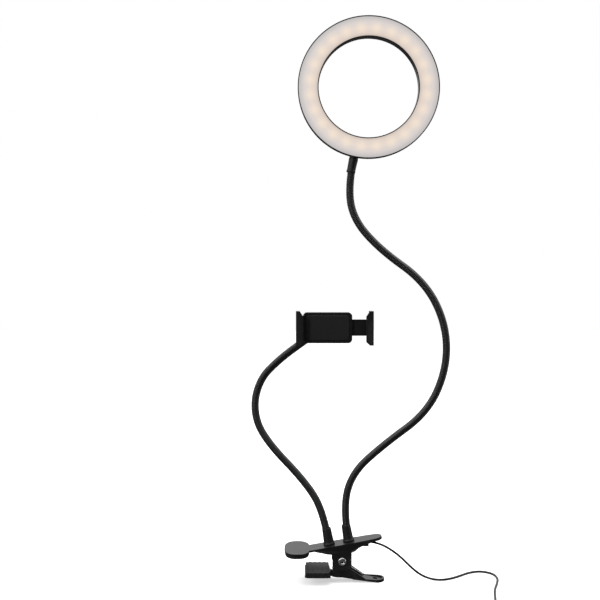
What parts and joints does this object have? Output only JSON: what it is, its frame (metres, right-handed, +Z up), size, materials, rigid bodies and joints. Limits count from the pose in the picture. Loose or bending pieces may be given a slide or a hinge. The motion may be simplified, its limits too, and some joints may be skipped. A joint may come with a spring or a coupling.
{
  "type": "clip-on ring light with phone cradle",
  "caption": "Desk-clamp ring light: two black goosenecks rise from a spring clamp, one to a milky ring of LEDs, one to a sprung phone cradle, with a USB cord.",
  "frame": {"origin": "centre of the upper clamp pad's contact face, which rests on the desk's top", "axes": "+X from the pad to the clamp's handles, +Y away from the user, +Z up"},
  "size_m": [0.2628, 0.155, 0.5924],
  "materials": {
    "ball": "smooth",
    "bright_steel": "bright plated",
    "button_rubber": "matte",
    "circuit_board": "white solder mask",
    "clamp_plastic": "satin moulded",
    "control_plastic": "satin",
    "cord_jacket": "satin vinyl",
    "cord_moulding": "soft vinyl",
    "cradle_plastic": "satin moulded",
    "diffuser": "milky, satin",
    "fastener_steel": "zinc plated",
    "gooseneck": "satin black ribbed gooseneck",
    "grip_rubber": "matte",
    "led": "phosphor under clear resin",
    "liner": "natural nylon",
    "plug_shell": "nickel plated",
    "plug_tongue": "white",
    "ring_plastic": "satin black",
    "sleeve_rubber": "matte",
    "tie": "matte"
  },
  "bodies": {
    "clamp": {"clamp_upper_lever": "clamp_plastic", "clamp_upper_pad": "grip_rubber", "clamp_pivot_pin": "bright_steel", "clamp_spring": "bright_steel", "arm_ferrules": "fastener_steel", "arm_washers": "fastener_steel", "arm_nuts": "fastener_steel", "cord_clip": "cord_moulding", "inner_lead": "cord_jacket", "ring_arm_foot_sleeve": "sleeve_rubber", "phone_arm_foot_sleeve": "sleeve_rubber", "ring_arm_1": "gooseneck", "phone_arm_1": "gooseneck", "cord_lead": "cord_jacket", "cord_link": "cord_jacket", "cord_end": "cord_jacket", "cord_coil": "cord_jacket", "cord_tie": "tie", "control_top_shell": "control_plastic", "control_bottom_shell": "control_plastic", "control_board": "circuit_board", "control_strain_reliefs": "cord_moulding", "usb_grip": "cord_moulding", "usb_shell": "plug_shell", "usb_tongue": "plug_tongue"},
    "clamp_jaw": {"clamp_lower_lever": "clamp_plastic", "clamp_lower_pad": "grip_rubber"},
    "ring_head": {"ring_arm_7": "gooseneck", "ring_top_sleeve": "sleeve_rubber", "ring_rear_housing": "ring_plastic", "ring_diffuser": "diffuser", "led_board": "circuit_board", "leds": "led", "ring_screws": "fastener_steel"},
    "phone_seg_5": {"phone_arm_5": "gooseneck", "phone_arm_end_sleeve": "sleeve_rubber", "ball_stud": "ball"},
    "swivel": {"swivel_cup": "liner"},
    "cradle": {"cradle_rear_shell": "cradle_plastic", "cradle_front_cover": "cradle_plastic", "cradle_front_pad": "grip_rubber", "cradle_screws": "fastener_steel", "left_jaw": "cradle_plastic", "left_jaw_pad": "grip_rubber", "jaw_springs": "bright_steel"},
    "lock_nut": {"lock_nut": "cradle_plastic"},
    "moving_jaw": {"right_jaw": "cradle_plastic", "right_jaw_pad": "grip_rubber"},
    "ring_seg_2": {"ring_arm_2": "gooseneck"},
    "ring_seg_3": {"ring_arm_3": "gooseneck"},
    "ring_seg_4": {"ring_arm_4": "gooseneck"},
    "ring_seg_5": {"ring_arm_5": "gooseneck"},
    "ring_seg_6": {"ring_arm_6": "gooseneck"},
    "phone_seg_2": {"phone_arm_2": "gooseneck"},
    "phone_seg_3": {"phone_arm_3": "gooseneck"},
    "phone_seg_4": {"phone_arm_4": "gooseneck"},
    "button_1": {"button_1": "button_rubber"},
    "button_2": {"button_2": "button_rubber"},
    "button_3": {"button_3": "button_rubber"},
    "button_4": {"button_4": "button_rubber"}
  },
  "joints": [
    {"name": "clamp_open", "type": "hinge", "parent": "clamp", "child": "clamp_jaw", "pos_m": [0.0472, 0, -0.0067], "axis": [0, -1, 0], "range_deg": [-21, 22], "stiffness_Nm_per_rad": 0.8, "springref_deg": -68.75, "deforming": ["clamp_spring"]},
    {"name": "ring_bend_1", "type": "hinge", "parent": "clamp", "child": "ring_seg_2", "pos_m": [0.05305, 0, 0.065], "axis": [0, 1, 0], "range_deg": [-20, 25]},
    {"name": "ring_bend_2", "type": "hinge", "parent": "ring_seg_2", "child": "ring_seg_3", "pos_m": [0.1145, 0, 0.13175], "axis": [0.5917, 0, -0.8061], "range_deg": [-20, 20]},
    {"name": "ring_bend_3", "type": "hinge", "parent": "ring_seg_3", "child": "ring_seg_4", "pos_m": [0.15725, 0, 0.2195], "axis": [0, -1, 0], "range_deg": [-25, 25]},
    {"name": "ring_bend_4", "type": "hinge", "parent": "ring_seg_4", "child": "ring_seg_5", "pos_m": [0.14525, 0, 0.265], "axis": [-0.8903, 0, -0.4553], "range_deg": [-20, 20]},
    {"name": "ring_bend_5", "type": "hinge", "parent": "ring_seg_5", "child": "ring_seg_6", "pos_m": [0.07275, 0, 0.33675], "axis": [0, 1, 0], "range_deg": [-25, 25]},
    {"name": "ring_bend_6", "type": "hinge", "parent": "ring_seg_6", "child": "ring_head", "pos_m": [0.05602, 0, 0.37083], "axis": [0.9905, 0, 0.1378], "range_deg": [-30, 30]},
    {"name": "phone_bend_1", "type": "hinge", "parent": "clamp", "child": "phone_seg_2", "pos_m": [0.0204, 0, 0.0555], "axis": [0, 1, 0], "range_deg": [-20, 15]},
    {"name": "phone_bend_2", "type": "hinge", "parent": "phone_seg_2", "child": "phone_seg_3", "pos_m": [-0.01175, 0, 0.0965], "axis": [0.7246, 0, 0.6891], "range_deg": [-15, 15]},
    {"name": "phone_bend_3", "type": "hinge", "parent": "phone_seg_3", "child": "phone_seg_4", "pos_m": [-0.043, 0, 0.1685], "axis": [0, -1, 0], "range_deg": [-20, 20]},
    {"name": "phone_bend_4", "type": "hinge", "parent": "phone_seg_4", "child": "phone_seg_5", "pos_m": [-0.005, -0.01, 0.216], "axis": [-0.6097, 0, 0.7926], "range_deg": [-15, 15]},
    {"name": "cradle_tilt", "type": "hinge", "parent": "phone_seg_5", "child": "swivel", "pos_m": [0.03, -0.054, 0.242], "axis": [1, 0, 0], "range_deg": [-20, 20]},
    {"name": "cradle_spin", "type": "hinge", "parent": "swivel", "child": "cradle", "pos_m": [0.03, -0.054, 0.242], "axis": [0, 1, 0], "range_deg": [-90, 90]},
    {"name": "lock_nut_turn", "type": "hinge", "parent": "cradle", "child": "lock_nut", "pos_m": [0.03, -0.054, 0.242], "axis": [0, 1, 0], "range_deg": [-120, 0]},
    {"name": "jaw_slide", "type": "slide", "parent": "cradle", "child": "moving_jaw", "axis": [1, 0, 0], "range_m": [-0.01, 0.014], "stiffness_N_per_m": 60, "springref_m": -0.03, "deforming": ["jaw_springs"]},
    {"name": "button_1_press", "type": "slide", "parent": "clamp", "child": "button_1", "axis": [0, 0, -1], "range_m": [0, 0.0007], "stiffness_N_per_m": 300},
    {"name": "button_2_press", "type": "slide", "parent": "clamp", "child": "button_2", "axis": [0, 0, -1], "range_m": [0, 0.0007], "stiffness_N_per_m": 300},
    {"name": "button_3_press", "type": "slide", "parent": "clamp", "child": "button_3", "axis": [0, 0, -1], "range_m": [0, 0.0007], "stiffness_N_per_m": 300},
    {"name": "button_4_press", "type": "slide", "parent": "clamp", "child": "button_4", "axis": [0, 0, -1], "range_m": [0, 0.0007], "stiffness_N_per_m": 300}
  ]
}
